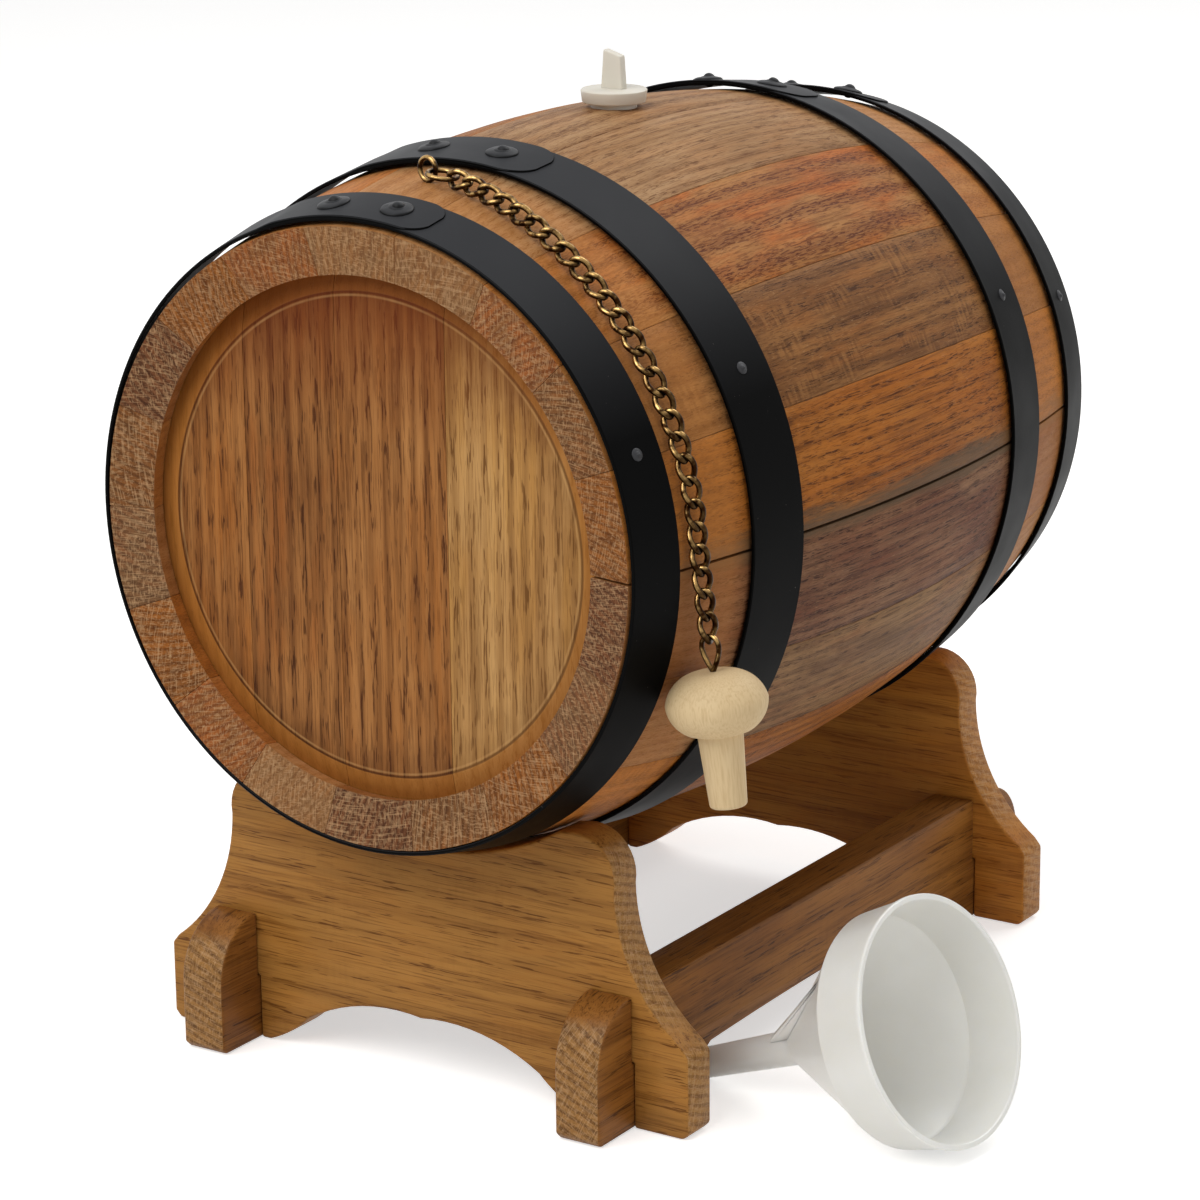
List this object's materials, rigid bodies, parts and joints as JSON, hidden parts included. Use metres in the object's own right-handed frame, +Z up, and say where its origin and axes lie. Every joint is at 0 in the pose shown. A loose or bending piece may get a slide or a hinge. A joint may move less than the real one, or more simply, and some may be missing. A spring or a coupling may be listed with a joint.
{
  "type": "oak cask liquor dispenser",
  "caption": "Small stave-built oak cask with riveted black hoops on a halved oak stand, with a tap, a bung, a stopper on a brass chain and a filling funnel.",
  "frame": {"origin": "bottom centre of the whole set's bounding box, on the floor", "axes": "+Z up, +Y along the cask's axis to the rear, -Y the front head, +X the side the chain hangs on"},
  "size_m": [0.27, 0.3006, 0.2866],
  "materials": {
    "stand_oak": "satin varnished oak",
    "stave_oak": "oiled oak",
    "head_oak": "oiled oak",
    "hoop_steel": "satin black powder coat",
    "rivet_steel": "satin black powder coat",
    "chain_brass": "antique brass",
    "stopper_wood": "raw turned beech",
    "bung_plastic": "moulded white polyethylene",
    "tap_wood": "turned and oiled",
    "funnel_plastic": "milky translucent polypropylene"
  },
  "bodies": {
    "stand": {"front_end_board": "stand_oak", "rear_end_board": "stand_oak", "left_rail": "stand_oak", "right_rail": "stand_oak"},
    "cask": {"stave_01": "stave_oak", "stave_02": "stave_oak", "stave_03": "stave_oak", "stave_04": "stave_oak", "stave_05": "stave_oak", "stave_06": "stave_oak", "stave_07": "stave_oak", "stave_08": "stave_oak", "stave_09": "stave_oak", "stave_10": "stave_oak", "stave_11": "stave_oak", "stave_12": "stave_oak", "stave_13": "stave_oak", "stave_14": "stave_oak", "stave_15": "stave_oak", "stave_16": "stave_oak", "stave_17": "stave_oak", "stave_18": "stave_oak", "front_head_board_1": "head_oak", "front_head_board_2": "head_oak", "front_head_board_3": "head_oak", "front_head_board_4": "head_oak", "rear_head_board_1": "head_oak", "rear_head_board_2": "head_oak", "rear_head_board_3": "head_oak", "rear_head_board_4": "head_oak", "front_chime_hoop": "hoop_steel", "front_quarter_hoop": "hoop_steel", "rear_quarter_hoop": "hoop_steel", "rear_chime_hoop": "hoop_steel", "front_chime_rivets": "rivet_steel", "front_quarter_rivets": "rivet_steel", "rear_quarter_rivets": "rivet_steel", "rear_chime_rivets": "rivet_steel", "hoop_nails": "rivet_steel", "chain_anchor": "chain_brass", "chain_ring": "chain_brass", "laid_chain": "chain_brass", "tap": "tap_wood"},
    "bung": {"bung": "bung_plastic"},
    "chain_drop": {"drop_chain": "chain_brass"},
    "stopper": {"stopper": "stopper_wood", "stopper_eye": "chain_brass"},
    "tap_key": {"tap_key": "tap_wood"},
    "funnel": {"funnel": "funnel_plastic"}
  },
  "joints": [
    {"name": "cask_lift", "type": "slide", "parent": "stand", "child": "cask", "axis": [0, 0, 1], "range_m": [0, 0.12]},
    {"name": "bung_pull", "type": "slide", "parent": "cask", "child": "bung", "axis": [0, 0, 1], "range_m": [0, 0.06]},
    {"name": "chain_swing", "type": "hinge", "parent": "cask", "child": "chain_drop", "pos_m": [0.0637, -0.12724, 0.17937], "axis": [0, -1, 0], "range_deg": [0, 70]},
    {"name": "stopper_swing", "type": "hinge", "parent": "chain_drop", "child": "stopper", "pos_m": [0.0679, -0.12724, 0.14748], "axis": [0, -1, 0], "range_deg": [0, 35]},
    {"name": "tap_turn", "type": "hinge", "parent": "cask", "child": "tap_key", "pos_m": [-0.03147, 0.13125, 0.1162], "axis": [0, 0, 1], "range_deg": [0, 90]},
    {"name": "funnel_slide", "type": "slide", "parent": "stand", "child": "funnel", "axis": [1, 0, 0], "range_m": [0, 0.1]}
  ]
}
